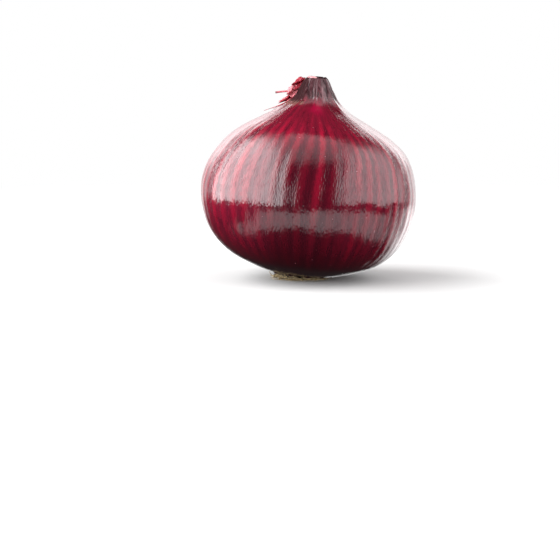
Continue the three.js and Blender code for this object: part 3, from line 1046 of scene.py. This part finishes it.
class ONION_OT_roots(bpy.types.Operator):
    """Grow the dried roots out of the root plate"""

    bl_idname = "onion.roots"
    bl_label = "Roots"

    def execute(self, context):
        scene = context.scene
        draw = random.Random(ROOT_SEED)
        lean = scene.onion_sizes.lean
        paths = []
        for _ in range(ROOTS):
            paths.append((root_path(draw, lean), draw.uniform(0.6, 1.1), 0.65, draw.choice((0, 0, 1))))
        light = tuple(scene.onion_colours.root)
        dark = tuple(scene.onion_colours.root_dark)
        middle = tuple((a + b) / 2 for a, b in zip(light, dark))
        finishes = (root_finish("pale_root", light, middle), root_finish("old_root", middle, dark))
        radius = scene.onion_sizes.root_radius
        tapered_strand("dried_roots", paths, radius, finishes, "root_tuft")
        return {"FINISHED"}


def plate_profile():
    """The root plate's rings as (radius, height), from the middle of its foot to that of its top."""
    rings = [(0.0, 0.0), (2.0, 0.0), (4.0, 0.0), (PLATE_FOOT_RADIUS, 0.0)]
    for k in range(1, PLATE_BEND_STEPS + 1):
        turn = math.pi / 2 * k / PLATE_BEND_STEPS
        out = PLATE_FOOT_RADIUS + (PLATE_RADIUS - PLATE_FOOT_RADIUS) * math.sin(turn)
        rings.append((out, PLATE_BEND * (1 - math.cos(turn))))
    rings.append((PLATE_RADIUS - 0.6, 2 * PLATE_BEND))
    rings.append((PLATE_RADIUS - 1.2, PLATE_THICKNESS))
    rings.append((0.0, PLATE_THICKNESS))
    return rings


class ONION_OT_plate(bpy.types.Operator):
    """Turn the root plate that the onion stands on"""

    bl_idname = "onion.plate"
    bl_label = "Root Plate"

    def execute(self, context):
        shape = spun([(out, up, 0.0) for out, up in plate_profile()], PLATE_SEGMENTS)
        for vert in shape.verts:
            rough = noise.noise(vert.co * 0.8) + 0.6 * noise.noise(vert.co * 2.3)
            spread = 1 + PLATE_ROUGHNESS * rough * min(vert.co.z / 0.5, 1.0)
            vert.co.x *= spread
            vert.co.y *= spread
        bmesh.ops.scale(shape, vec=(MM, MM, MM), verts=shape.verts)
        light = tuple(context.scene.onion_colours.root_dark)
        finish = root_finish("root_plate", light, tuple(0.4 * value for value in light))
        new_piece("root_plate", shape, finish, "root_tuft")
        return {"FINISHED"}


# Stage


def floor_finish():
    """Pale matt floor: a white sheet from front to back, on grey, that fades into the backdrop."""
    finish = Finish("pale_floor")
    length = finish.add("ShaderNodeVectorMath", {0: finish.place()}, operation="LENGTH").outputs["Value"]
    far = finish.band(length, *FLOOR_FADE)
    place = finish.add("ShaderNodeSeparateXYZ", {0: finish.place()}).outputs
    across = finish.plus(finish.math("ABSOLUTE", place["X"]), finish.times(place["Y"], -SHEET_WIDENING))
    sheet = finish.band(across, *SHEET_EDGE, 1.0, 0.0)
    near_colour = finish.mix(sheet, (GREY_FLOOR,) * 3, (WHITE_FLOOR,) * 3)
    far_light = finish.plus(finish.times(sheet, 1.0 - GREY_BACKDROP), GREY_BACKDROP)
    finish.set(Base_Color=finish.mix(far, near_colour, (0.0, 0.0, 0.0)), Roughness=1.0)
    finish.set(Emission_Color=(1.0, 1.0, 1.0), Emission_Strength=finish.times(far, far_light))
    finish.set(Specular_IOR_Level=0.0)
    return finish.material


def studio_world():
    """A world that lights the onion with the studio's lights.

    The camera doesn't see them. It sees a backdrop that is white at the front and back and grey at the
    sides.
    """
    world = bpy.data.worlds.new("studio")
    world.use_nodes = True
    nodes = Nodes(world.node_tree)
    direction = nodes.add("ShaderNodeTexCoord").outputs["Generated"]

    def along(facing):
        inputs = {0: direction, 1: facing}
        return nodes.add("ShaderNodeVectorMath", inputs, operation="DOT_PRODUCT").outputs["Value"]

    light = DIM_LIGHT
    for brightness, *planes in STUDIO_LIGHTS:
        part = brightness
        for facing, out, fully_in in planes:
            part = nodes.times(nodes.band(along(facing), out, fully_in), part)
        light = nodes.plus(part, light)
    behind = nodes.math("MAXIMUM", along(BACK), 0.0)
    light = nodes.times(light, nodes.plus(nodes.times(nodes.times(behind, behind), MORE_BEHIND), 1.0))
    seen = nodes.add("ShaderNodeLightPath").outputs["Is Camera Ray"]
    hidden = nodes.times(nodes.math("SUBTRACT", 1.0, seen), light)
    sides = nodes.band(nodes.math("ABSOLUTE", along(RIGHT)), *BACKDROP_EDGE, 1.0, GREY_BACKDROP)
    back = world.node_tree.nodes["Background"]
    nodes.put(back.inputs["Strength"], nodes.plus(nodes.times(seen, sides), hidden))
    nodes.put(back.inputs["Color"], (1.0, 1.0, 1.0))
    bpy.context.scene.world = world


def place_camera():
    """The camera in front of the onion, a little above it."""
    camera = bpy.data.cameras.new("camera")
    camera.lens = CAMERA_LENS
    camera.sensor_width = CAMERA_SENSOR
    holder = bpy.data.objects.new("camera", camera)
    tilt = math.radians(CAMERA_TILT)
    back = Vector((0.0, -math.cos(tilt), math.sin(tilt)))
    holder.location = (Vector(CAMERA_AIM) + back * CAMERA_DISTANCE) * MM
    holder.rotation_euler = back.to_track_quat("Z", "Y").to_euler()
    bpy.context.scene.collection.objects.link(holder)
    bpy.context.scene.camera = holder


class ONION_OT_stage(bpy.types.Operator):
    """Set the pale floor, the soft lights and the camera"""

    bl_idname = "onion.stage"
    bl_label = "Stage"

    def execute(self, context):
        scene = context.scene
        shape = bmesh.new()
        bmesh.ops.create_circle(shape, cap_ends=True, segments=FLOOR_SEGMENTS, radius=FLOOR_RADIUS)
        mesh = bpy.data.meshes.new("floor")
        shape.to_mesh(mesh)
        shape.free()
        floor = bpy.data.objects.new("floor", mesh)
        mesh.materials.append(floor_finish())
        scene.collection.objects.link(floor)
        floor.visible_diffuse = False
        floor.visible_glossy = False
        floor.visible_shadow = False
        studio_world()
        place_camera()
        scene.view_settings.view_transform = "Standard"
        return {"FINISHED"}


class ONION_PT_panel(bpy.types.Panel):
    """The onion's pieces, sizes and colours"""

    bl_label = "Red Onion"
    bl_space_type = "VIEW_3D"
    bl_region_type = "UI"
    bl_category = "Onion"

    def draw(self, context):
        layout = self.layout
        for group in (context.scene.onion_sizes, context.scene.onion_colours):
            for name in type(group).__annotations__:
                layout.prop(group, name)
        for operator in OPERATORS:
            layout.operator(operator.bl_idname)


OPERATORS = (
    ONION_OT_stage,
    ONION_OT_skin,
    ONION_OT_leaf_ends,
    ONION_OT_torn_skin,
    ONION_OT_plate,
    ONION_OT_roots,
)
CLASSES = (OnionSizes, OnionColours, *OPERATORS, ONION_PT_panel)


def register():
    for cls in CLASSES:
        bpy.utils.register_class(cls)
    bpy.types.Scene.onion_sizes = bpy.props.PointerProperty(type=OnionSizes)
    bpy.types.Scene.onion_colours = bpy.props.PointerProperty(type=OnionColours)


def unregister():
    del bpy.types.Scene.onion_colours
    del bpy.types.Scene.onion_sizes
    for cls in reversed(CLASSES):
        bpy.utils.unregister_class(cls)


def main():
    register()
    bpy.ops.onion.stage()
    bpy.ops.onion.skin()
    bpy.ops.onion.leaf_ends()
    bpy.ops.onion.torn_skin()
    bpy.ops.onion.plate()
    bpy.ops.onion.roots()
    bpy.context.view_layer.update()


if __name__ == "__main__":
    main()
